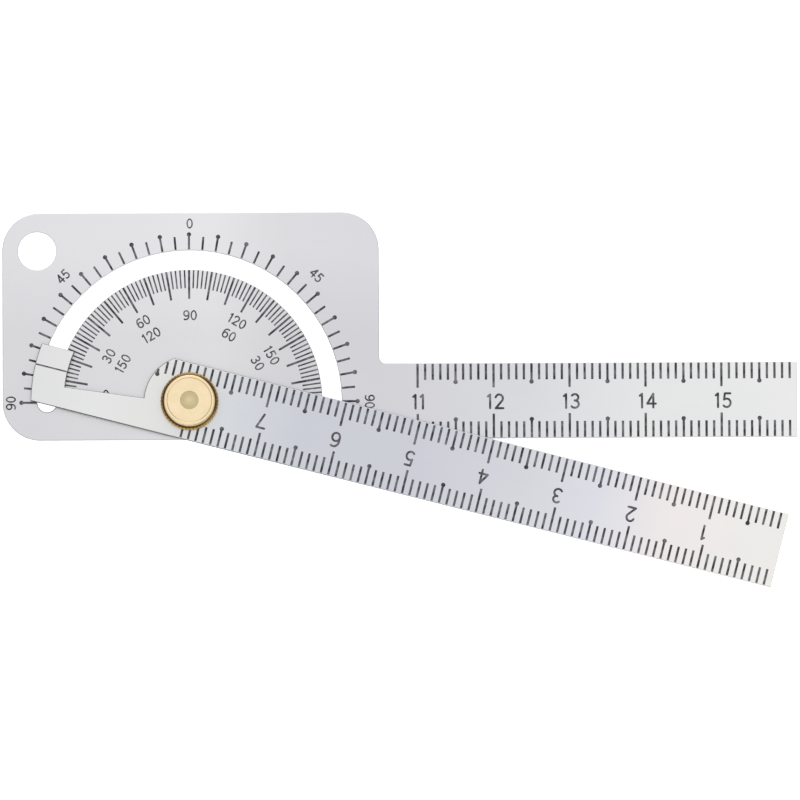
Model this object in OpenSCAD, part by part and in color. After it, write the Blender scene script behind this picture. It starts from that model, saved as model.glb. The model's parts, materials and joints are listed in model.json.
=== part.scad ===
// Pocket protractor: a stainless dial plate with a fixed rule blade, and a second
// rule arm that swings on a stud under a brass thumb nut.
//
// Frame: the origin is on the pivot axis at the plate's back face, +X runs along the
// fixed blade to its tip, +Y to the top of the dial and +Z up out of the front face.
// Lengths are in millimetres and angles in degrees.

/* [Dial plate] */
// Distance from the pivot to the dial head's left edge
head_left = 24.6; // [24.5:0.1:28]
// Distance from the pivot to the dial head's right edge
head_right = 25; // [24.5:0.5:28]
// Height of the dial head
head_h = 30; // [30:0.5:36]
// Sheet thickness of the dial plate
plate_t = 1; // [0.9:0.1:1.5]
// Radius of the three outer corners
corner_r = 5; // [3:0.5:6]
// Radius of the hanging hole
hole_r = 2.5; // [1.5:0.1:3]
// Distance from the pivot to the hanging hole, both to the left and upwards
hole_reach = 20; // [19.5:0.1:20.5]
// Fillet between the head and the top edge of the blade
notch_r = 0.8; // [0.4:0.1:1.5]

/* [Blades] */
// Width of the fixed blade and of the swing arm
blade_w = 10; // [9:0.5:12]
// Distance from the pivot to the tip of either blade
reach = 80; // [60:10:120]
// Angle of the swing arm below the fixed blade
arm_angle = 14.5; // [0:0.5:90]

/* [Window] */
// Radius of the window's centre line
window_r = 18.75; // [18:0.05:19]
// Width of the window
window_w = 2.5; // [1.5:0.1:3]

/* [Swing arm] */
// Sheet thickness of the swing arm
arm_t = 1; // [0.8:0.1:1.5]
// Radius of the arm's round end, past the pivot
boss_r = 6; // [5.5:0.1:7]
// Inner radius of the index head
index_r_in = 16.5; // [15.5:0.1:17]
// Outer radius of the index head
index_r_out = 20.85; // [20.5:0.05:22]
// Top of the index head above the arm's centre line
index_top = 2.65; // [1:0.05:4]
// Fall of the tail's upper edge, from the boss to the index head
tail_fall = 1.2; // [0:0.1:2]

/* [Pivot] */
// Radius of the stud's bearing, which the arm turns on
bearing_r = 1.5; // [1.4:0.05:2]
// Radius of the stud's threaded end, which the thumb nut runs on
thread_r = 1.15; // [1:0.05:1.3]
// Radius of the stud's flush head in the plate's back
stud_head_r = 3; // [2.5:0.1:4]
// Thickness of the friction washer under the arm
washer_t = 0.15; // [0.1:0.05:0.3]

/* [Thumb nut] */
// Radius of the knurled flange
flange_r = 3.8; // [3.6:0.1:5]
// Thickness of the flange
flange_t = 0.7; // [0.5:0.1:1.2]
// Height of the flange's knurled rim, below its sloping top
rim_h = 0.35; // [0.2:0.05:0.5]
// Radius of the cap above the flange
cap_r = 3.3; // [3.1:0.05:3.5]
// Height of the whole thumb nut
nut_h = 2.6; // [2.2:0.1:5]
// Number of knurl grooves around the flange
knurl_count = 48; // [24:4:60]

/* [Scales] */
// Width of the millimetre lines
line_w = 0.31; // [0.15:0.01:0.35]
// Width of the lines at every five or ten degrees
degree_line_w = 0.28; // [0.15:0.01:0.3]
// Width of the closely spaced two degree lines and of the index line
fine_line_w = 0.2; // [0.15:0.01:0.25]
// Radius of the dots that end some of the lines
dot_r = 0.29; // [0.2:0.01:0.35]
// Height of the ink layer above the steel
ink_t = 0.02; // [0.01:0.01:0.05]
// Height of the numerals on the blades
rule_digit_h = 2.1; // [1.5:0.05:2.2]
// Height of the numerals on the dial
dial_digit_h = 1.35; // [1:0.05:1.4]

/* [Hidden] */

$fn = 96;
cut = 1;            // how far a cutter passes beyond what it cuts
fit = 0.05;         // radial clearance of a running fit
seat = 0.01;        // radial gap of a pressed seat
float_gap = 0.02;   // gap on each side of a washer that a moving part turns on
half_w = blade_w / 2;
window_in = window_r - window_w / 2;
window_out = window_r + window_w / 2;
arm_z = plate_t + washer_t + float_gap;
arm_top = arm_z + arm_t;
spring_h = 0.35;    // height of the cupped spring washer
spring_t = 0.2;     // its sheet thickness
nut_z = arm_top + spring_h + 2 * float_gap;
nut_top = nut_z + nut_h;
stud_head_t = plate_t / 2;
groove_h = 0.3;     // height of the neck between flange and cap
neck_r = cap_r - 0.3;
stud_sink = 0.1;    // how far the stud's end stays below the top of the nut
stud_edge = 0.15;   // bevel around the stud's end
nut_edge = 0.15;    // bevel around the foot of the nut
knurl_side = 0.2;   // side of the square groove that is cut for each knurl
washer_r = half_w - 0.4;    // radius of the friction washer, hidden under the arm
tail_y = -1.05;     // top of the tail at the boss, from the arm's centre line
boss_lap = 0.1;     // how far the slope of the tail runs into the boss
tail_lap = 0.4;     // how far the tail runs into the index head
edge_gap = 0.13;    // plain steel between a line and the edge it starts from
inner_start = 17.4; // radius where the inner degree lines start
inner_ten = 13.6;   // radius where every fifth of them, a ten degree line, ends
inner_two = 15;     // radius where the two degree lines between them end
outer_ten = 22.1;   // radius of the dots that end the outer ten degree lines
outer_five = 21.85; // radius where the five degree lines between them end
centimetre_l = 3.27;    // distance from the blade's edge to the end of a centimetre line
half_l = 2.53;      // the same for the dotted line halfway between two of them
millimetre_l = 2.25;    // the same for the other millimetre lines
outer_number_r = 23.6;  // radius of the numbers outside the window
upper_row_r = 12.35;    // radius of the outer of the two rows of numbers inside it
lower_row_r = 10.25;    // radius of the inner row
top_number_r = 11.5;    // radius of the 90 that both rows share
end_number = [11.1, 1.06];  // place of the 180, and mirrored of the 0, at the window's ends
rule_pen = 0.29;    // pen width of the numerals on the blades
dial_pen = 0.2;     // pen width of the numerals on the dial
loop_points = 24;   // points on a closed stroke
digit_shift = 0.18; // how far most numerals on the blades stand to the right of their lines
number_shift = [0.1, -0.06];  // how far off centre the dial's numerals are printed
blade_drop = 0.12;  // how far the blade's numerals stand below its centre line
arm_drop = 0.17;    // how far the arm's numerals and index line stand below its centre line
fan_start = 6;      // first millimetre past the pivot on the fixed blade's lower edge

steel = [0.86, 0.86, 0.88];
brass = [0.86, 0.7, 0.38];
ink = [0.05, 0.05, 0.06];

// ---- sheet parts ----

// The corner of a square block that a round of radius r leaves over
module corner_waste(r) {
    difference() {
        translate([0, 0, -cut]) cube([r + cut, r + cut, plate_t + 2 * cut]);
        translate([0, 0, -2 * cut]) cylinder(r = r, h = plate_t + 4 * cut);
    }
}

// Moves a corner_waste to the corner at (x, y), opening towards (sx, sy)
module at_corner(x, y, sx, sy) {
    translate([x - sx * corner_r, y - sy * corner_r, 0])
        mirror([sx < 0 ? 1 : 0, 0, 0]) mirror([0, sy < 0 ? 1 : 0, 0]) corner_waste(corner_r);
}

// The part of a disc of radius r that lies above the x axis
module half_disc(r, h) {
    intersection() {
        cylinder(r = r, h = h);
        translate([-2 * r, 0, -cut]) cube([4 * r, 2 * r, h + 2 * cut]);
    }
}

// Semicircular window around the pivot, with round ends
module window_cutter() {
    translate([0, 0, -cut]) difference() {
        half_disc(window_out, plate_t + 2 * cut);
        translate([0, 0, -cut]) cylinder(r = window_in, h = plate_t + 4 * cut);
    }
    for (side = [-1, 1])
        translate([side * window_r, 0, -cut]) cylinder(r = window_w / 2, h = plate_t + 2 * cut);
}

// The fillet in the notch where the head stands up from the blade
module notch_fillet() {
    translate([head_right, half_w, 0]) difference() {
        translate([-cut, -cut, 0]) cube([notch_r + cut, notch_r + cut, plate_t]);
        translate([notch_r, notch_r, -cut]) cylinder(r = notch_r, h = plate_t + 2 * cut);
    }
}

module dial_plate() {
    left = -head_left;
    top = head_h - half_w;
    color(steel) difference() {
        union() {
            translate([left, -half_w, 0]) cube([head_left + head_right, head_h, plate_t]);
            translate([0, -half_w, 0]) cube([reach, blade_w, plate_t]);
            notch_fillet();
        }
        at_corner(left, top, -1, 1);
        at_corner(left, -half_w, -1, -1);
        at_corner(head_right, top, 1, 1);
        window_cutter();
        translate([-hole_reach, hole_reach, -cut]) cylinder(r = hole_r, h = plate_t + 2 * cut);
        translate([0, 0, -cut]) cylinder(r = bearing_r + seat, h = plate_t + 2 * cut);
        translate([0, 0, -cut]) cylinder(r = stud_head_r + seat, h = stud_head_t + cut);
    }
}

// Places its children in the arm's own frame, where +X runs from the pivot to the tip
module on_arm(z) {
    translate([0, 0, z]) rotate([0, 0, -arm_angle]) children();
}

// Index head: a piece of ring that covers the window
module index_head() {
    intersection() {
        difference() {
            cylinder(r = index_r_out, h = arm_t);
            translate([0, 0, -cut]) cylinder(r = index_r_in, h = arm_t + 2 * cut);
        }
        translate([-index_r_out - cut, -half_w, -cut])
            cube([index_r_out, half_w + index_top, arm_t + 2 * cut]);
    }
}

// The arm's blade ends in an arc about the pivot
module round_end() {
    intersection() {
        cylinder(r = boss_r, h = arm_t);
        translate([-boss_r, -half_w, -cut]) cube([2 * boss_r, blade_w, arm_t + 2 * cut]);
    }
}

module swing_arm() {
    color(steel) on_arm(arm_z) difference() {
        union() {
            translate([0, -half_w, 0]) cube([reach, blade_w, arm_t]);
            round_end();
            linear_extrude(arm_t)
                polygon([
                    [0, tail_y],
                    [-boss_r + boss_lap, tail_y],
                    [-index_r_in - tail_lap, tail_y - tail_fall],
                    [-index_r_in - tail_lap, -half_w],
                    [0, -half_w],
                ]);
            index_head();
        }
        translate([0, 0, -cut]) cylinder(r = bearing_r + fit, h = arm_t + 2 * cut);
    }
}

// ---- pivot ----

// Stud pressed into the plate from behind: flush head, bearing, threaded end
module pivot_stud() {
    color(brass) rotate_extrude() polygon([
        [0, 0],
        [stud_head_r, 0],
        [stud_head_r, stud_head_t],
        [bearing_r, stud_head_t],
        [bearing_r, arm_top],
        [thread_r, arm_top],
        [thread_r, nut_top - stud_sink - stud_edge],
        [thread_r - stud_edge, nut_top - stud_sink],
        [0, nut_top - stud_sink],
    ]);
}

module friction_washer() {
    color([0.25, 0.24, 0.22]) translate([0, 0, plate_t]) difference() {
        cylinder(r = washer_r, h = washer_t);
        translate([0, 0, -cut]) cylinder(r = bearing_r + fit, h = washer_t + 2 * cut);
    }
}

// Cupped spring washer that loads the arm under the nut
module spring_washer() {
    inner = thread_r + 2 * fit;
    outer = neck_r;
    color(steel) translate([0, 0, arm_top + float_gap]) rotate_extrude() polygon([
        [outer, 0],
        [outer, spring_t],
        [inner, spring_h],
        [inner, spring_h - spring_t],
    ]);
}

module thumb_nut() {
    color(brass) translate([0, 0, nut_z]) difference() {
        rotate_extrude() polygon([
            [thread_r + fit, 0],
            [flange_r - nut_edge, 0],
            [flange_r, nut_edge],
            [flange_r, rim_h],
            [cap_r + 0.05, flange_t],
            [neck_r, flange_t],
            [neck_r, flange_t + groove_h],
            [cap_r, flange_t + groove_h],
            [cap_r, nut_h - 0.2],
            [cap_r - 0.1, nut_h - 0.1],
            [cap_r - 0.45, nut_h],
            [thread_r + fit, nut_h],
        ]);
        for (i = [0:knurl_count - 1])
            rotate([0, 0, i * 360 / knurl_count]) translate([flange_r, 0, -cut])
                rotate([0, 0, 45]) translate([-knurl_side / 2, -knurl_side / 2, 0])
                    cube([knurl_side, knurl_side, cut + flange_t + 0.01]);
    }
}

// ---- graduation lines ----

// A line of width w along +X from x0 to x1, with a dot at x1 if wanted
module line_mark(x0, x1, dotted = false, w = line_w) {
    from = min(x0, x1);
    translate([from, -w / 2, 0]) cube([abs(x1 - x0), w, ink_t]);
    if (dotted)
        translate([x1, 0, 0]) cylinder(r = dot_r, h = ink_t, $fn = 24);
}

// Degree lines outside the window, every 5 degrees, with 0 at the top
module outer_degree_lines() {
    color(ink) translate([0, 0, plate_t])
        for (a = [-90:5:90])
            rotate([0, 0, 90 - a]) {
                ten = a % 10 == 0;
                line_mark(window_out + edge_gap, ten ? outer_ten : outer_five, ten, degree_line_w);
            }
}

// Degree lines inside the window, every 2 degrees
module inner_degree_lines() {
    color(ink) translate([0, 0, plate_t])
        for (a = [0:2:180])
            rotate([0, 0, a]) {
                ten = a % 10 == 0;
                line_mark(inner_start, ten ? inner_ten : inner_two, false,
                    ten ? degree_line_w : fine_line_w);
            }
}

// Height of the edge that the millimetre lines start from. Past the pivot it is the arm's round end.
function edge_y(x) = x > 0 ? half_w : min(half_w, sqrt(boss_r * boss_r - x * x));

// Line number k at x, from the upper edge (side 1) or the lower edge (side -1) inwards
module rule_line(x, k, side) {
    length = k % 10 == 0 ? centimetre_l : k % 5 == 0 ? half_l : millimetre_l;
    translate([x, 0, 0]) rotate([0, 0, side * 90])
        line_mark(edge_y(x) - edge_gap, half_w - length, k % 10 == 5);
}

module blade_rule_lines() {
    color(ink) translate([0, 0, plate_t]) {
        for (x = [head_right + 5:reach - 1])
            rule_line(x, x, 1);
        for (x = [fan_start:reach - 1])
            rule_line(x, x, -1);
    }
}

// The arm counts from its tip: k millimetres from the tip is at x = reach - k
module arm_rule_lines() {
    last_line = reach + boss_r - 1;
    color(ink) on_arm(arm_top) {
        for (k = [1:last_line])
            rule_line(reach - k, k, 1);
        for (k = [1:reach])
            rule_line(reach - k, k, -1);
    }
}

module index_line() {
    color(ink) on_arm(arm_top) translate([0, -arm_drop, 0]) rotate([0, 0, 180])
        line_mark(index_r_in + 0.1, index_r_out - 0.1, false, fine_line_w);
}

// ---- numerals ----
// Each digit is one or more pen strokes. A stroke is a list of points on the pen's
// path, in a box one unit high.

function bow(c, r, from, to, n = 10) =
    [for (i = [0:n]) let (a = from + (to - from) * i / n) [c.x + r.x * cos(a), c.y + r.y * sin(a)]];

function loop(c, r) = bow(c, r, 0, 360 - 360 / loop_points, loop_points - 1);

function strokes(d) =
    d == 0 ? [loop([0.3, 0.5], [0.28, 0.5])] :
    d == 1 ? [[[0.1, 0.86], [0.26, 0.99]], [[0.26, 1], [0.26, 0]]] :
    d == 2 ? [concat(bow([0.28, 0.72], [0.27, 0.28], 165, -32), [[0.03, 0]]), [[0.02, 0], [0.58, 0]]] :
    d == 3 ? [bow([0.26, 0.76], [0.25, 0.24], 145, -90), bow([0.25, 0.27], [0.29, 0.27], 90, -145)] :
    d == 4 ? [[[0.44, 0], [0.44, 1]], [[0.44, 1], [0, 0.28]], [[0, 0.28], [0.62, 0.28]]] :
    d == 5 ? [[[0.52, 1], [0.12, 1]], [[0.12, 1], [0.07, 0.56]],
        bow([0.25, 0.31], [0.29, 0.31], 130, -140)] :
    d == 6 ? [loop([0.3, 0.3], [0.28, 0.3]),
        concat(bow([0.37, 0.6], [0.35, 0.4], 62, 180), [[0.02, 0.3]])] :
    d == 7 ? [[[0, 1], [0.58, 1]], [[0.58, 1], [0.2, 0]]] :
    d == 8 ? [loop([0.29, 0.76], [0.23, 0.24]), loop([0.29, 0.27], [0.28, 0.27])] :
    [loop([0.3, 0.7], [0.28, 0.3]),
        concat(bow([0.23, 0.4], [0.35, 0.4], 242, 360), [[0.58, 0.7]])];

function digit_w(d) = d == 1 ? 0.3 : 0.6;

function unit(v) = v / norm(v);

// The direction of a stroke at its point i
function heading(p, i) = unit(p[min(i + 1, len(p) - 1)] - p[max(i - 1, 0)]);

function left_of(v) = [-v.y, v.x];

// Half round end of a stroke of half width h at point c, from direction a on
function pen_end(c, h, a) = [for (i = [1:4]) c + h * [cos(a - i * 36), sin(a - i * 36)]];

// Outline of an open stroke, h wide on each side
function outline(p, h) =
    let (last = len(p) - 1, a = heading(p, last), b = heading(p, 0)) concat(
        [for (i = [0:last]) p[i] + h * left_of(heading(p, i))],
        pen_end(p[last], h, atan2(a.y, a.x) + 90),
        [for (i = [last:-1:0]) p[i] - h * left_of(heading(p, i))],
        pen_end(p[0], h, atan2(b.y, b.x) - 90));

function is_loop(p) = len(p) == loop_points;

// The points of a loop, moved h outwards from its middle
function grown(p, h) =
    let (c = (p[0] + p[loop_points / 2]) / 2) [for (q = p) q + h * unit(q - c)];

module stroke(p, h) {
    if (is_loop(p))
        difference() {
            polygon(grown(p, h));
            polygon(grown(p, -h));
        }
    else
        polygon(outline(p, h));
}

module digit(d, high, pen) {
    linear_extrude(ink_t)
        for (s = strokes(d))
            stroke([for (q = s) q * (high - pen)], pen / 2);
}

// Gap between two neighbouring digits. A 1 stands further off, as its stem is straight.
function gap(a, b) = a == 1 && b != 1 ? 0.34 : 0.24;

// Where the digit number n starts, in units of the height
function run(digits, n) =
    n == 0 ? 0 : run(digits, n - 1) + digit_w(digits[n - 1]) + gap(digits[n - 1], digits[n]);

// A number centred on the origin, given as a list of digits
module number(digits, high, pen) {
    scale_by = high - pen;
    last = len(digits) - 1;
    w = (run(digits, last) + digit_w(digits[last])) * scale_by;
    for (i = [0:last])
        translate([run(digits, i) * scale_by - w / 2, -scale_by / 2, 0])
            digit(digits[i], high, pen);
}

function digits_of(n) = n < 10 ? [n] : concat(digits_of(floor(n / 10)), [n % 10]);

// A number on the dial, its top facing outwards, a degrees right of the dial's top
module dial_number(n, a, r) {
    rotate([0, 0, -a]) translate([0, r, 0]) number(digits_of(n), dial_digit_h, dial_pen);
}

module outer_degree_numbers() {
    color(ink) translate([number_shift.x, number_shift.y, plate_t])
        for (a = [-90:45:90])
            dial_number(abs(a), a, outer_number_r);
}

// Two rows that count opposite ways and share the 90 at the top
module inner_degree_numbers() {
    color(ink) translate([number_shift.x, number_shift.y, plate_t]) {
        dial_number(90, 0, top_number_r);
        for (n = [30, 60, 120, 150]) {
            dial_number(n, n - 90, upper_row_r);
            dial_number(180 - n, n - 90, lower_row_r);
        }
        for (side = [-1, 1])
            translate([side * end_number.x, end_number.y, 0])
                number(side < 0 ? [0] : [1, 8, 0], dial_digit_h, dial_pen);
    }
}

module blade_rule_numbers() {
    color(ink) translate([0, 0, plate_t])
        for (x = [head_right + 5:10:reach - 10])
            translate([x + (x < head_right + 10 ? 0 : digit_shift), -blade_drop, 0])
                number(digits_of((reach + x) / 10), rule_digit_h, rule_pen);
}

module arm_rule_numbers() {
    color(ink) on_arm(arm_top)
        for (k = [10:10:reach - 10])
            translate([reach - k - digit_shift, -arm_drop, 0]) rotate([0, 0, 180])
                number([k / 10], rule_digit_h, rule_pen);
}

dial_plate();
pivot_stud();
friction_washer();
swing_arm();
spring_washer();
thumb_nut();
outer_degree_lines();
outer_degree_numbers();
inner_degree_lines();
inner_degree_numbers();
blade_rule_lines();
blade_rule_numbers();
arm_rule_lines();
arm_rule_numbers();
index_line();
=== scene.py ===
"""Looks of a pocket protractor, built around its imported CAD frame.

The two steel sheets, the brass nut and the stud are modelled here at full quality, at the
CAD's sizes and places. The washers and the scale markings are the CAD's own shapes.
"""
import json
import math
import bpy
from mathutils import Matrix, Vector
from mathutils.geometry import tessellate_polygon


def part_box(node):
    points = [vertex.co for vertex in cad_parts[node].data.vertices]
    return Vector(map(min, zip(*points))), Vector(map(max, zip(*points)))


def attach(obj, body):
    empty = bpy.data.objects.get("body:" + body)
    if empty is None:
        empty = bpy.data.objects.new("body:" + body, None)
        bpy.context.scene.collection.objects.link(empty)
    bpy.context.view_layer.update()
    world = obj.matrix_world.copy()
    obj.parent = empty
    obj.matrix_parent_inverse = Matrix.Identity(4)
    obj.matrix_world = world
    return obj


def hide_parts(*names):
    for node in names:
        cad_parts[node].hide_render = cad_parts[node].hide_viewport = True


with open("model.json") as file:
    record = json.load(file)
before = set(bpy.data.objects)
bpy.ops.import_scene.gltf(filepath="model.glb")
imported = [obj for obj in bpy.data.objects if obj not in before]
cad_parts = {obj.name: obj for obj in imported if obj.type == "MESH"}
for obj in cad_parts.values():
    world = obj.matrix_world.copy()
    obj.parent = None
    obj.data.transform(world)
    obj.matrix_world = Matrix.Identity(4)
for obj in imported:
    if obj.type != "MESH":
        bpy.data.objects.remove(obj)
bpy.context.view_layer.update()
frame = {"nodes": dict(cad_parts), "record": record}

MM = 0.001

# ---- sizes, in millimetres, the same driving dimensions as the CAD's ----

HEAD_RIGHT = 25.0    # right edge of the dial's head
CORNER_R = 5.0       # the head's rounded corners
NOTCH_R = 0.8        # inner corner between the head and the blade
WINDOW_R = 18.75     # centre line of the semicircular window
WINDOW_W = 2.5       # width of the window
BOSS_R = 6.0         # round end of the arm
INDEX_R_IN = 16.5    # inner edge of the arm's index head
INDEX_R_OUT = 20.85  # outer edge of the index head
INDEX_TOP = 2.65     # upper edge of the index head
TAIL_Y = -1.05       # where the tail's upper edge leaves the round end
TAIL_FALL = 1.2      # how far that edge falls along the whole tail
BOSS_LAP = 0.1       # how far the tail runs into the round end
TAIL_LAP = 0.4       # how far the tail runs into the index head
BEARING_R = 1.5      # the stud's shank, which the arm turns on
SEAT = 0.01          # gap between the stud and the plate, all round
FIT = 0.05           # gap between the stud and what turns on it

# finer than the CAD, and only in the meshes made here
EDGE_ROUND = 0.14    # radius of the deburred edges of both sheets
HOLE_ROUND = 0.1     # the same, round the hanging hole
BORE_EDGE = 0.05     # bevels and roundings round the bores of the pivot
FLAT_RIM = 0.03      # width of the strip that keeps a sheet's faces flat right up to their roundings


def low(node):
    """Lowest corner of a CAD node, in millimetres."""
    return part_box(node)[0] / MM


def high(node):
    """Highest corner of a CAD node, in millimetres."""
    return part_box(node)[1] / MM


PLATE_T = high("dial_plate").z
REACH = high("dial_plate").x
HALF_W = -low("dial_plate").y
HEAD_LEFT = low("dial_plate").x
HEAD_TOP = high("dial_plate").y
ARM_Z = low("swing_arm").z
ARM_TOP = high("swing_arm").z
STUD_HEAD_R = high("pivot_stud").x
STUD_TOP = high("pivot_stud").z
NUT_Z = low("thumb_nut").z
NUT_TOP = high("thumb_nut").z
FLANGE_R = high("thumb_nut").x

hanging_hole = next(mount for mount in frame["record"]["mounts"] if mount["name"] == "hanging_hole")
HOLE_AT = Vector(hanging_hole["pos_m"]).xy / MM
HOLE_R = hanging_hole["dims"]["r_mm"]

# the arm's angle below the blade, in radians, follows from how low its lower tip corner lies
ARM_ANGLE = math.asin(-low("swing_arm").y / math.hypot(REACH, HALF_W)) - math.atan2(HALF_W, REACH)


# ---- mesh helpers ----

SAME_POINT = 1e-6   # points closer than this, in millimetres, are one point
SHARPEST = 0.3      # cosine that limits how far an inset corner may stretch
SMOOTH_BELOW = 35   # edges that bend by fewer degrees are shaded smooth


def arc(cx, cy, r, start, end, step=2.0):
    """Points on an arc from angle start to angle end, in degrees, both ends included."""
    n = max(2, math.ceil(abs(end - start) / step))
    angles = [math.radians(start + (end - start) * i / n) for i in range(n + 1)]
    return [(cx + r * math.cos(a), cy + r * math.sin(a)) for a in angles]


def circle(cx, cy, r, count=128):
    """Points round a circle, clockwise, as every hole's loop runs."""
    return arc(cx, cy, r, 360, 0, 360 / count)[:-1]


def without_repeats(points):
    """The same loop with no point twice in a row."""
    return [p for i, p in enumerate(points) if math.dist(p, points[i - 1]) > SAME_POINT]


def inset(loop, amount):
    """A closed loop moved to its left by amount, which is into the material."""
    moved = []
    for i, p in enumerate(loop):
        before = (Vector(p) - Vector(loop[i - 1])).normalized()
        after = (Vector(loop[(i + 1) % len(loop)]) - Vector(p)).normalized()
        normal = (before.orthogonal() + after.orthogonal()).normalized()
        stretch = max(SHARPEST, normal.dot(before.orthogonal()))
        moved.append(Vector(p) + normal * amount / stretch)
    return moved


def rounded_edge(z0, z1, r, steps=4):
    """How far in and how high each ring of a sheet's edge lies, from the bottom face to the top one."""
    quarter = [math.pi / 2 * i / steps for i in range(steps + 1)]
    bottom = [(r * (1 - math.sin(a)), z0 + r * (1 - math.cos(a))) for a in quarter]
    top = [(r * (1 - math.cos(a)), z1 - r * (1 - math.sin(a))) for a in quarter]
    return [(r + FLAT_RIM, z0)] + bottom + top + [(r + FLAT_RIM, z1)]


def new_object(name, points, faces):
    """A mesh object from points in millimetres."""
    mesh = bpy.data.meshes.new(name)
    mesh.from_pydata([Vector(p) * MM for p in points], [], faces)
    mesh.validate()
    mesh.polygons.foreach_set("use_smooth", [True] * len(mesh.polygons))
    mesh.set_sharp_from_angle(angle=math.radians(SMOOTH_BELOW))
    obj = bpy.data.objects.new(name, mesh)
    bpy.context.scene.collection.objects.link(obj)
    return obj


def sheet_part(name, loops):
    """A flat part. loops is a list of (points, edge), where edge is a list of (inset, z) rings from the
    bottom face to the top one. The first loop is the outline, anticlockwise, and the rest are holes."""
    points, faces = [], []
    ends = {"bottom": [], "top": []}
    for loop, edge in loops:
        loop = without_repeats(loop)
        count = len(loop)
        start = len(points)
        for amount, z in edge:
            points += [(p[0], p[1], z) for p in inset(loop, amount)]
        for ring in range(len(edge) - 1):
            a, b = start + ring * count, start + (ring + 1) * count
            for i in range(count):
                j = (i + 1) % count
                faces.append((a + i, a + j, b + j, b + i))
        ends["bottom"].append(range(start, start + count))
        ends["top"].append(range(len(points) - count, len(points)))
    for side, rings in ends.items():
        index = [i for ring in rings for i in ring]
        flat = [[Vector((points[i][0], points[i][1], 0)) for i in ring] for ring in rings]
        for tri in tessellate_polygon(flat):
            a, b, c = (index[k] for k in tri)
            pa, pb, pc = (Vector(points[k][:2]) for k in (a, b, c))
            up = (pb - pa).cross(pc - pa) > 0
            faces.append((a, b, c) if up == (side == "top") else (a, c, b))
    obj = new_object(name, points, faces)
    normals = obj.modifiers.new("face_weighted", "WEIGHTED_NORMAL")
    normals.keep_sharp = True
    normals.weight = 100
    return obj


def turned_part(name, profile, steps, radius=None):
    """A lathe-turned part of that many steps round. profile is a closed list of (r, z), and
    radius(r, turn) may change r round the part."""
    points, faces = [], []
    rows = []
    for r, z in profile:
        if r == 0:
            rows.append([len(points)] * steps)
            points.append((0, 0, z))
            continue
        rows.append(list(range(len(points), len(points) + steps)))
        for k in range(steps):
            turn = 2 * math.pi * k / steps
            here = radius(r, turn) if radius else r
            points.append((here * math.cos(turn), here * math.sin(turn), z))
    for i, row in enumerate(rows):
        following = rows[(i + 1) % len(rows)]
        for k in range(steps):
            j = (k + 1) % steps
            corners = [row[k], row[j], following[j], following[k]]
            face = [c for n, c in enumerate(corners) if c != corners[n - 1]]
            if len(face) > 2:
                faces.append(face)
    return new_object(name, points, faces)


# ---- the two steel sheets ----

def dial_sheet():
    """The head with its window, its hanging hole and the stud's seat, and the fixed blade."""
    r = CORNER_R
    outline = (
        arc(HEAD_LEFT + r, r - HALF_W, r, 180, 270)
        + [(REACH, -HALF_W), (REACH, HALF_W)]
        + arc(HEAD_RIGHT + NOTCH_R, HALF_W + NOTCH_R, NOTCH_R, 270, 180, 10)
        + arc(HEAD_RIGHT - r, HEAD_TOP - r, r, 0, 90)
        + arc(HEAD_LEFT + r, HEAD_TOP - r, r, 90, 180)
    )
    half = WINDOW_W / 2
    window = (
        arc(0, 0, WINDOW_R - half, 0, 180, 1)
        + arc(-WINDOW_R, 0, half, 360, 180, 10)
        + arc(0, 0, WINDOW_R + half, 180, 0, 1)
        + arc(WINDOW_R, 0, half, 360, 180, 10)
    )
    recess = STUD_HEAD_R - BEARING_R
    recess_depth = PLATE_T / 2
    stud_seat = [
        (recess + BORE_EDGE + FLAT_RIM, 0), (recess + BORE_EDGE, 0), (recess, BORE_EDGE),
        (recess, recess_depth), (0, recess_depth), (0, PLATE_T - BORE_EDGE), (BORE_EDGE, PLATE_T),
        (BORE_EDGE + FLAT_RIM, PLATE_T),
    ]
    edge = rounded_edge(0, PLATE_T, EDGE_ROUND)
    return sheet_part("dial_sheet", [
        (outline, edge),
        (window, edge),
        (circle(*HOLE_AT, HOLE_R), rounded_edge(0, PLATE_T, HOLE_ROUND)),
        (circle(0, 0, BEARING_R + SEAT), stud_seat),
    ])


def on_circle(r, y):
    """The angle, in degrees, of the point on the left half of a circle at height y."""
    return 180 - math.degrees(math.asin(y / r))


def arm_outline():
    """The swing arm's outline in its own frame, from the tip's lower corner round to the left."""
    tail_start, tail_end = BOSS_R - BOSS_LAP, INDEX_R_IN + TAIL_LAP
    tail_end_y = TAIL_Y - TAIL_FALL * (INDEX_R_IN - tail_start) / (tail_end - tail_start)
    return (
        [(REACH, -HALF_W), (REACH, HALF_W)]
        + arc(0, 0, BOSS_R, on_circle(BOSS_R, HALF_W), on_circle(BOSS_R, TAIL_Y))
        + arc(0, 0, INDEX_R_IN, on_circle(INDEX_R_IN, tail_end_y), on_circle(INDEX_R_IN, INDEX_TOP))
        + arc(0, 0, INDEX_R_OUT, on_circle(INDEX_R_OUT, INDEX_TOP), on_circle(INDEX_R_OUT, -HALF_W))
    )


def arm_sheet():
    """The swing arm, turned to its rest angle."""
    c, s = math.cos(ARM_ANGLE), math.sin(ARM_ANGLE)
    outline = [(c * x + s * y, -s * x + c * y) for x, y in arm_outline()]
    return sheet_part("arm_sheet", [
        (outline, rounded_edge(ARM_Z, ARM_TOP, EDGE_ROUND)),
        (circle(0, 0, BEARING_R + FIT), rounded_edge(ARM_Z, ARM_TOP, BORE_EDGE)),
    ])


# ---- the turned parts ----

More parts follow.
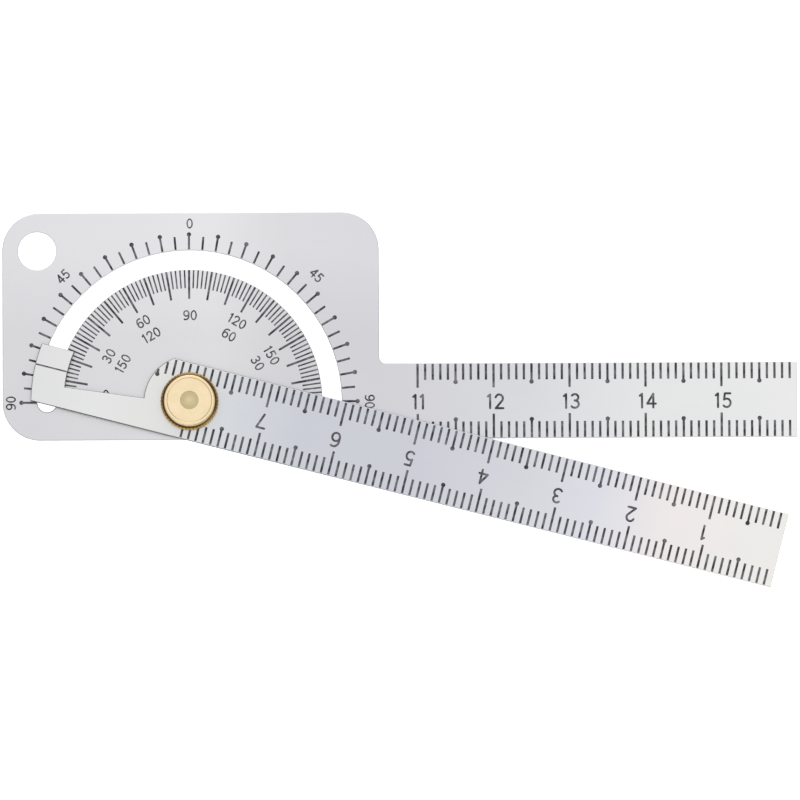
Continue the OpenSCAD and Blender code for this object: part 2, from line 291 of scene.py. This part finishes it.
KNURLS = 48          # teeth round the nut's flange
KNURL_DEPTH = 0.08
KNURL_START = 3.62   # radius where the knurling begins
KNURL_FADE = 0.12    # over which it reaches its full depth
KNURL_STEPS = 12     # mesh steps round each tooth
THREAD_R = 1.15      # the stud's thread
NECK_R = 3.0         # the nut's neck, between its flange and its cap
CAP_R = 3.3          # the nut's cap
FLANGE_T = 0.7       # height of the flange, where its top meets the neck
RIM_H = 0.35         # height of the flange's rim
GROOVE_H = 0.3       # height of the groove round the neck


def knurl(r, turn):
    """Cuts straight knurling into the flange's rim."""
    if r < KNURL_START:
        return r
    phase = (turn * KNURLS / (2 * math.pi)) % 1
    depth = max(0.0, 1 - abs(phase - 0.5) * 4)
    fade = min(1.0, (r - KNURL_START) / KNURL_FADE)
    return r - KNURL_DEPTH * depth * fade


def turned_nut():
    """Knurled flange with a sloping top, a neck, and a cap whose face is sunk inside a bright rim."""
    neck = FLANGE_T + GROOVE_H
    top = NUT_TOP - NUT_Z
    bore = THREAD_R + FIT
    base = [(bore, 0.12), (bore + 0.12, 0), (FLANGE_R - 0.14, 0), (FLANGE_R - 0.04, 0.04)]
    knurled_rim = [(FLANGE_R, 0.14), (FLANGE_R, RIM_H - 0.04), (FLANGE_R - 0.04, RIM_H + 0.02)]
    slope = [(KNURL_START, RIM_H + 0.13), (CAP_R + 0.1, FLANGE_T - 0.04), (CAP_R + 0.02, FLANGE_T)]
    neck_groove = [
        (NECK_R + 0.08, FLANGE_T), (NECK_R, FLANGE_T + 0.08), (NECK_R, neck - 0.06), (NECK_R + 0.06, neck),
    ]
    cap_side = [(CAP_R - 0.06, neck), (CAP_R, neck + 0.06), (CAP_R, top - 0.12), (CAP_R - 0.03, top - 0.05)]
    bright_rim = [(CAP_R - 0.1, top - 0.008), (CAP_R - 0.14, top), (CAP_R - 0.3, top)]
    face_groove = [
        (CAP_R - 0.34, top - 0.012), (CAP_R - 0.39, top - 0.06), (CAP_R - 0.43, top - 0.06),
        (CAP_R - 0.5, top - 0.03), (CAP_R - 0.6, top - 0.02),
    ]
    face = [(bore + 0.5, top - 0.02), (bore, top - 0.055)]
    profile = base + knurled_rim + slope + neck_groove + cap_side + bright_rim + face_groove + face
    return turned_part("turned_nut", [(r, NUT_Z + z) for r, z in profile], KNURLS * KNURL_STEPS, knurl)


def turned_stud():
    """Stud with a flush head at the back and a lightly peened end that fills the nut's bore."""
    head_t = PLATE_T / 2
    end = STUD_TOP
    peened = THREAD_R + FIT - 0.012
    dimple = [(0, 0.02), (0.5, 0.02), (0.6, 0), (0.65, 0)]
    head = [(STUD_HEAD_R - 0.06, 0), (STUD_HEAD_R, 0.06), (STUD_HEAD_R, head_t)]
    shank = [(BEARING_R, head_t), (BEARING_R, ARM_TOP), (THREAD_R, ARM_TOP), (THREAD_R, end - 0.45)]
    swell = [(peened, end - 0.3), (peened, end - 0.02), (peened - 0.02, end - 0.005), (peened - 0.2, end)]
    peened_ring = [
        (0.8, end - 0.005), (0.7, end - 0.03), (0.6, end - 0.035), (0.45, end - 0.015), (0.2, end - 0.015),
    ]
    centre = [(0.12, end), (0, end)]
    return turned_part("turned_stud", dimple + head + shank + swell + peened_ring + centre, 128)


# ---- materials ----

NOISE_LOW, NOISE_HIGH = 0.3, 0.7   # noise seldom leaves this range


def tree(name):
    """A new node material, its shader, and functions that add and link nodes."""
    mat = bpy.data.materials.new(name)
    mat.use_nodes = True
    nodes, links = mat.node_tree.nodes, mat.node_tree.links
    shader = nodes["Principled BSDF"]

    def add(kind, inputs=(), **settings):
        node = nodes.new(kind)
        for key, value in settings.items():
            setattr(node, key, value)
        for socket, value in dict(inputs).items():
            if isinstance(value, bpy.types.NodeSocket):
                links.new(value, node.inputs[socket])
            else:
                node.inputs[socket].default_value = value
        return node

    def link(output, socket):
        links.new(output, shader.inputs[socket])

    return mat, shader, add, link


def grain(add, coords, wave, detail=3.0, turn=0.0):
    """Noise with the given wavelengths in metres along each axis, turned about +Z."""
    place = add("ShaderNodeMapping", {"Vector": coords, "Rotation": (0, 0, turn), "Scale": wave},
                vector_type="TEXTURE")
    noise = add("ShaderNodeTexNoise", {
        "Vector": place.outputs["Vector"], "Scale": 1.0, "Detail": detail, "Roughness": 0.6})
    return noise.outputs["Fac"]


def ramp(add, factor, stops):
    """Colours a factor. stops is a list of (position, colour)."""
    node = add("ShaderNodeValToRGB", {"Fac": factor})
    elements = node.color_ramp.elements
    for place, (position, color) in enumerate(stops):
        element = elements[place] if place < 2 else elements.new(position)
        element.position = position
        element.color = (*color, 1)
    return node.outputs["Color"]


def blend(add, one, other, factor=1.0, kind="MIX"):
    """Two colours blended, with as much of the other as factor says."""
    node = add("ShaderNodeMix", {"Factor": factor}, data_type="RGBA", blend_type=kind)
    colors = [i for i in node.inputs if i.type == "RGBA"]
    node.id_data.links.new(one, colors[0])
    node.id_data.links.new(other, colors[1])
    return next(o for o in node.outputs if o.type == "RGBA")


def tint(add, base, factor, shade):
    """Multiplies a colour by shade where the factor is low, and leaves it where it is high."""
    shades = ramp(add, factor, [(NOISE_LOW, shade), (NOISE_HIGH, (1, 1, 1))])
    return blend(add, base, shades, kind="MULTIPLY")


def spread(add, factor, low_value, high_value):
    """Spreads noise over a range of values."""
    node = add("ShaderNodeMapRange", {
        "Value": factor, "From Min": NOISE_LOW, "From Max": NOISE_HIGH,
        "To Min": low_value, "To Max": high_value})
    return node.outputs["Result"]


def bump(add, height, depth):
    """A normal from a height factor of the given depth in metres."""
    node = add("ShaderNodeBump", {"Height": height, "Strength": 1.0, "Distance": depth})
    return node.outputs["Normal"]


def across(add, coords, axis, start, end, turn=0.0):
    """Runs from 0 at start to 1 at end, in millimetres along one axis of a frame turned about +Z."""
    place = add("ShaderNodeMapping", {"Vector": coords, "Rotation": (0, 0, turn)}, vector_type="TEXTURE")
    split = add("ShaderNodeSeparateXYZ", {"Vector": place.outputs["Vector"]})
    node = add("ShaderNodeMapRange", {
        "Value": split.outputs[axis], "From Min": start * MM, "From Max": end * MM})
    return node.outputs["Result"]


def facing_up(add):
    """0 on a sheet's cut edges, 1 on its two faces."""
    normal = add("ShaderNodeTexCoord").outputs["Normal"]
    split = add("ShaderNodeSeparateXYZ", {"Vector": normal})
    size = add("ShaderNodeMath", {0: split.outputs["Z"]}, operation="ABSOLUTE")
    node = add("ShaderNodeMapRange", {"Value": size.outputs["Value"], "From Min": 0.65, "From Max": 0.8})
    return node.outputs["Result"]


def brushed_steel(name, turn, tones_and_shade, edge_shades):
    """Satin stainless sheet, finely brushed along the direction turn, with rougher cut edges. Its tones
    colour it along its length and carry painted shade and reflection, a painted shade darkens it towards
    its bottom, and edge_shades darkens its cut edges along its length, on the arm with a painted shadow."""
    mat, shader, add, link = tree(name)
    coords = add("ShaderNodeTexCoord").outputs["Object"]
    fine = grain(add, coords, (0.004, 0.00006, 0.00006), 2, turn)
    streak = grain(add, coords, (0.016, 0.0003, 0.0003), 4, turn)
    cloud = grain(add, coords, (0.014, 0.009, 0.009), 3, turn)
    along = across(add, coords, "X", HEAD_LEFT, REACH, turn)
    # steel colour with painted shade and painted reflection along the sheet
    base = ramp(add, along, tones_and_shade)
    # painted shade: each sheet is a little darker towards its bottom, low Y, than towards the top of the
    # head
    height = across(add, coords, "Y", 0, HEAD_TOP + 3)
    base = tint(add, base, height, (0.92, 0.92, 0.92))
    base = tint(add, base, streak, (0.98, 0.98, 0.985))
    base = tint(add, base, cloud, (0.975, 0.98, 0.99))
    face = facing_up(add)
    # darker cut edges, and on the arm a painted shadow where it lies over the plate
    edge = ramp(add, along, [(place, (shade, shade, shade)) for place, shade in edge_shades])
    base = blend(add, blend(add, base, edge, kind="MULTIPLY"), base, face)
    gloss = spread(add, streak, 0.28, 0.36)
    link(base, "Base Color")
    link(add("ShaderNodeMapRange", {
        "Value": face, "To Min": 0.6, "To Max": gloss}).outputs["Result"], "Roughness")
    link(bump(add, fine, 0.0000012), "Normal")
    shader.inputs["Metallic"].default_value = 1.0
    return mat


def turned_metal(name, tone, dull, roughness, tarnish_and_shade):
    """Lathe-turned brass with concentric tool marks on every face, darkened by radius from a list of
    (radius in millimetres, shade), which holds tarnish and painted shade."""
    mat, shader, add, link = tree(name)
    coords = add("ShaderNodeTexCoord").outputs["Object"]
    split = add("ShaderNodeSeparateXYZ", {"Vector": coords})
    flat = add("ShaderNodeCombineXYZ", {"X": split.outputs["X"], "Y": split.outputs["Y"]}).outputs["Vector"]
    radius = add("ShaderNodeVectorMath", {0: flat}, operation="LENGTH").outputs["Value"]
    along = add("ShaderNodeCombineXYZ", {"X": radius, "Y": split.outputs["Z"]}).outputs["Vector"]
    rings = grain(add, along, (0.0001, 0.0001, 0.0001), 2)
    wide = grain(add, along, (0.0005, 0.0005, 0.0005), 2)
    cloud = grain(add, coords, (0.0018, 0.0018, 0.0018), 3)
    base = ramp(add, wide, [(NOISE_LOW, dull), (NOISE_HIGH, tone)])
    base = tint(add, base, cloud, (0.93, 0.94, 0.87))
    # darkened by radius: tarnish, and on the nut a painted shade round the foot of the cap
    outward = add("ShaderNodeMapRange", {"Value": radius, "From Max": FLANGE_R * MM}).outputs["Result"]
    patina_and_shade = ramp(add, outward, [(r / FLANGE_R, shade) for r, shade in tarnish_and_shade])
    base = blend(add, base, patina_and_shade, kind="MULTIPLY")
    link(base, "Base Color")
    link(spread(add, rings, roughness, roughness + 0.06), "Roughness")
    link(bump(add, rings, 0.0000008), "Normal")
    link(add("ShaderNodeTangent", direction_type="RADIAL", axis="Z").outputs["Tangent"], "Tangent")
    shader.inputs["Metallic"].default_value = 1.0
    shader.inputs["Anisotropic"].default_value = 0.5
    return mat


def enamel(name):
    """Black enamel that fills the etched scale lines, a little uneven."""
    mat, shader, add, link = tree(name)
    coords = add("ShaderNodeTexCoord").outputs["Object"]
    speck = grain(add, coords, (0.0002, 0.0002, 0.0002))
    patch = grain(add, coords, (0.0012, 0.0012, 0.0012))
    fill = ramp(add, patch, [(0.38, (0.045, 0.045, 0.055)), (0.66, (0.25, 0.25, 0.275))])
    link(tint(add, fill, speck, (0.75, 0.75, 0.75)), "Base Color")
    link(spread(add, speck, 0.5, 0.7), "Roughness")
    link(bump(add, speck, 0.000003), "Normal")
    shader.inputs["Specular IOR Level"].default_value = 0.2
    return mat


def fibre(name):
    """Dark pressed fibre of the friction washer."""
    mat, shader, add, link = tree(name)
    coords = add("ShaderNodeTexCoord").outputs["Object"]
    hair = grain(add, coords, (0.0004, 0.0004, 0.0001), 5)
    fill = ramp(add, hair, [(NOISE_LOW, (0.02, 0.017, 0.013)), (NOISE_HIGH, (0.06, 0.052, 0.04))])
    link(fill, "Base Color")
    link(spread(add, hair, 0.7, 0.9), "Roughness")
    link(bump(add, hair, 0.00001), "Normal")
    return mat


def paper(name):
    """Plain pale tabletop that glows a little, as a light table does."""
    mat, shader, add, link = tree(name)
    coords = add("ShaderNodeTexCoord").outputs["Object"]
    mottle = grain(add, coords, (0.02, 0.02, 0.02))
    fill = ramp(add, mottle, [(NOISE_LOW, (0.93, 0.93, 0.93)), (NOISE_HIGH, (0.95, 0.95, 0.95))])
    link(fill, "Base Color")
    shader.inputs["Roughness"].default_value = 0.9
    shader.inputs["Emission Color"].default_value = (1, 1, 1, 1)
    shader.inputs["Emission Strength"].default_value = 0.75
    return mat


def paint(node, material):
    """Gives a CAD node that is kept a better material."""
    for place in frame["nodes"][node].material_slots:
        place.material = material


def at(x):
    """Where x, in millimetres along a sheet, lies on its tone ramp."""
    return (x - HEAD_LEFT) / (REACH - HEAD_LEFT)


# the sheets' steel colour along their length, with painted shade and painted reflection in it: a little
# darker and bluer in their middles than at their ends
PLATE_TONES_AND_SHADE = [
    (at(-22), (0.77, 0.765, 0.785)), (at(3), (0.82, 0.815, 0.83)), (at(13), (0.745, 0.738, 0.757)),
    (at(24), (0.735, 0.725, 0.76)), (at(45), (0.783, 0.793, 0.82)), (at(60), (0.88, 0.89, 0.886)),
    (at(78), (0.924, 0.922, 0.916)),
]
# painted shade and painted reflection: the arm is darker in its middle and brighter and warmer towards its
# tip
ARM_TONES_AND_SHADE = [
    (at(-20), (0.85, 0.85, 0.845)), (at(-12), (0.89, 0.89, 0.885)), (at(-5), (0.87, 0.865, 0.845)),
    (at(6), (0.75, 0.775, 0.81)), (at(15), (0.675, 0.695, 0.75)), (at(30), (0.69, 0.7, 0.76)),
    (at(45), (0.755, 0.76, 0.805)), (at(55), (0.82, 0.825, 0.88)), (at(65), (0.975, 0.92, 0.91)),
    (at(75), (0.96, 0.94, 0.91)),
]
SPRING_TONES = [(0, (0.55, 0.55, 0.57)), (1, (0.6, 0.6, 0.62))]

# the arm's cut edges are darkened round the pivot and along the tail and the index head, a painted shadow
# where it lies over the plate, and are only a little darker further out
PLATE_EDGES = [(0, 0.85), (1, 0.85)]
ARM_EDGES_AND_SHADOW = [(at(0), 0.1), (at(30), 0.8)]
SPRING_EDGES = [(0, 0.5), (1, 0.5)]

# the nut is darker in the groove of its face, its flange has a painted shade, a dark band round the foot of
# the cap, and a tarnished, olive knurled rim, and the stud's end is darker outwards from its centre
CLEAN = (1, 1, 1)
NUT_TARNISH_AND_SHADE = [
    (CAP_R - 0.47, CLEAN), (CAP_R - 0.41, (0.82, 0.79, 0.62)), (CAP_R - 0.35, CLEAN),
    # painted shade: the dark band on the flange round the foot of the cap
    (CAP_R, CLEAN), (CAP_R + 0.05, (0.18, 0.12, 0.06)), (CAP_R + 0.2, (0.18, 0.12, 0.06)),
    (CAP_R + 0.36, (0.54, 0.42, 0.19)),
]
STUD_END_DARKENING = [
    (0.15, CLEAN), (0.55, (0.9, 0.9, 0.88)), (0.75, (0.84, 0.85, 0.82)), (1.15, (0.8, 0.8, 0.76)),
]

plate_steel = brushed_steel("plate_steel", 0.0, PLATE_TONES_AND_SHADE, PLATE_EDGES)
arm_steel = brushed_steel("arm_steel", -ARM_ANGLE, ARM_TONES_AND_SHADE, ARM_EDGES_AND_SHADOW)
spring_steel = brushed_steel("spring_steel", 0.0, SPRING_TONES, SPRING_EDGES)
nut_brass = turned_metal("nut_brass", (0.97, 0.8, 0.55), (0.93, 0.745, 0.49), 0.22, NUT_TARNISH_AND_SHADE)
stud_brass = turned_metal("stud_brass", (0.81, 0.67, 0.41), (0.69, 0.57, 0.34), 0.32, STUD_END_DARKENING)
scale_ink = enamel("scale_ink")

pieces = [
    (dial_sheet(), "dial", "dial_plate", "plate_steel", plate_steel),
    (arm_sheet(), "arm", "swing_arm", "arm_steel", arm_steel),
    (turned_nut(), "nut", "thumb_nut", "nut_brass", nut_brass),
    (turned_stud(), "dial", "pivot_stud", "stud_brass", stud_brass),
]
for piece, body, node, slot, material in pieces:
    piece.data.materials.append(material)
    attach(piece, body)
    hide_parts(node)

paint("friction_washer", fibre("washer_fibre"))
paint("spring_washer", spring_steel)
for entry in frame["record"]["subparts"]:
    if entry["material_slot"] == "scale_ink":
        paint(entry["node"], scale_ink)


# ---- floor, light and camera ----

FLOOR_HALF = 3.0      # half the side of the floor, in metres
FLOOR_DROP = 0.0001   # how far the floor lies below the object, in metres


def floor_plane():
    """The tabletop, a hair below the object so that the two share no plane."""
    mesh = bpy.data.meshes.new("floor")
    half, z = FLOOR_HALF, -FLOOR_DROP
    corners = [(-half, -half, z), (half, -half, z), (half, half, z), (-half, half, z)]
    mesh.from_pydata(corners, [], [(0, 1, 2, 3)])
    floor = bpy.data.objects.new("floor", mesh)
    bpy.context.scene.collection.objects.link(floor)
    floor.data.materials.append(paper("floor_paper"))


LIGHT_SIZE = 1.2                   # side of each square light, in metres
LIGHT_AIM = Vector((0.03, 0, 0))   # what they face, close to the object's middle, in metres


def area_light(name, place, power):
    """A square light of the given power in watts."""
    light = bpy.data.lights.new(name, "AREA")
    light.shape = "SQUARE"
    light.size = LIGHT_SIZE
    light.energy = power
    obj = bpy.data.objects.new(name, light)
    bpy.context.scene.collection.objects.link(obj)
    back = (Vector(place) - LIGHT_AIM).normalized()
    obj.matrix_world = Matrix.Translation(place) @ back.to_track_quat("Z", "Y").to_matrix().to_4x4()


SKY = [(0.45, (0.34, 0.33, 0.32)), (0.75, (1, 1, 1))]   # from the horizon to the ceiling


def studio():
    """A bright ceiling over a dark horizon, a low soft light behind the object, and one before it on
    the right."""
    world = bpy.data.worlds.new("studio")
    bpy.context.scene.world = world
    world.use_nodes = True
    nodes, links = world.node_tree.nodes, world.node_tree.links
    direction = nodes.new("ShaderNodeTexCoord").outputs["Generated"]
    split = nodes.new("ShaderNodeSeparateXYZ")
    shade = nodes.new("ShaderNodeValToRGB")
    links.new(direction, split.inputs["Vector"])
    links.new(split.outputs["Z"], shade.inputs["Fac"])
    for element, (position, color) in zip(shade.color_ramp.elements, SKY):
        element.position = position
        element.color = (*color, 1)
    links.new(shade.outputs["Color"], nodes["Background"].inputs["Color"])
    nodes["Background"].inputs["Strength"].default_value = 1.0
    area_light("back_light", (0.03, 1.3, 0.55), 4)
    area_light("front_light", (1.15, -1.05, 0.5), 2.5)
    bpy.context.scene.view_settings.view_transform = "Standard"


LENS = 400.0          # focal length in millimetres, so long that the view is nearly parallel
SENSOR_WIDTH = 36.0   # in millimetres
FRAME_WIDTH = 105.25  # width of the view at the object, in millimetres
AIM = Vector((27.67, 0.12, 1.0))       # middle of the view, in millimetres
LEAN = Vector((-0.014, -0.063, 1.0))   # the camera stands a little towards -X and -Y
ROLL = math.radians(-0.285)            # the view's turn about its own axis


def camera():
    """A distant camera above the object, with its frame's sides almost in line with the blade."""
    data = bpy.data.cameras.new("camera")
    data.lens = LENS
    data.sensor_width = SENSOR_WIDTH
    data.clip_start = 0.1
    data.clip_end = 20
    cam = bpy.data.objects.new("camera", data)
    bpy.context.scene.collection.objects.link(cam)
    distance = FRAME_WIDTH / SENSOR_WIDTH * LENS
    back = LEAN.normalized()
    right = Vector((math.cos(ROLL), math.sin(ROLL), 0))
    right = (right - back * right.dot(back)).normalized()
    turn = Matrix((right, back.cross(right), back)).transposed()
    cam.matrix_world = Matrix.Translation((AIM + back * distance) * MM) @ turn.to_4x4()
    bpy.context.scene.camera = cam


floor_plane()
studio()
camera()
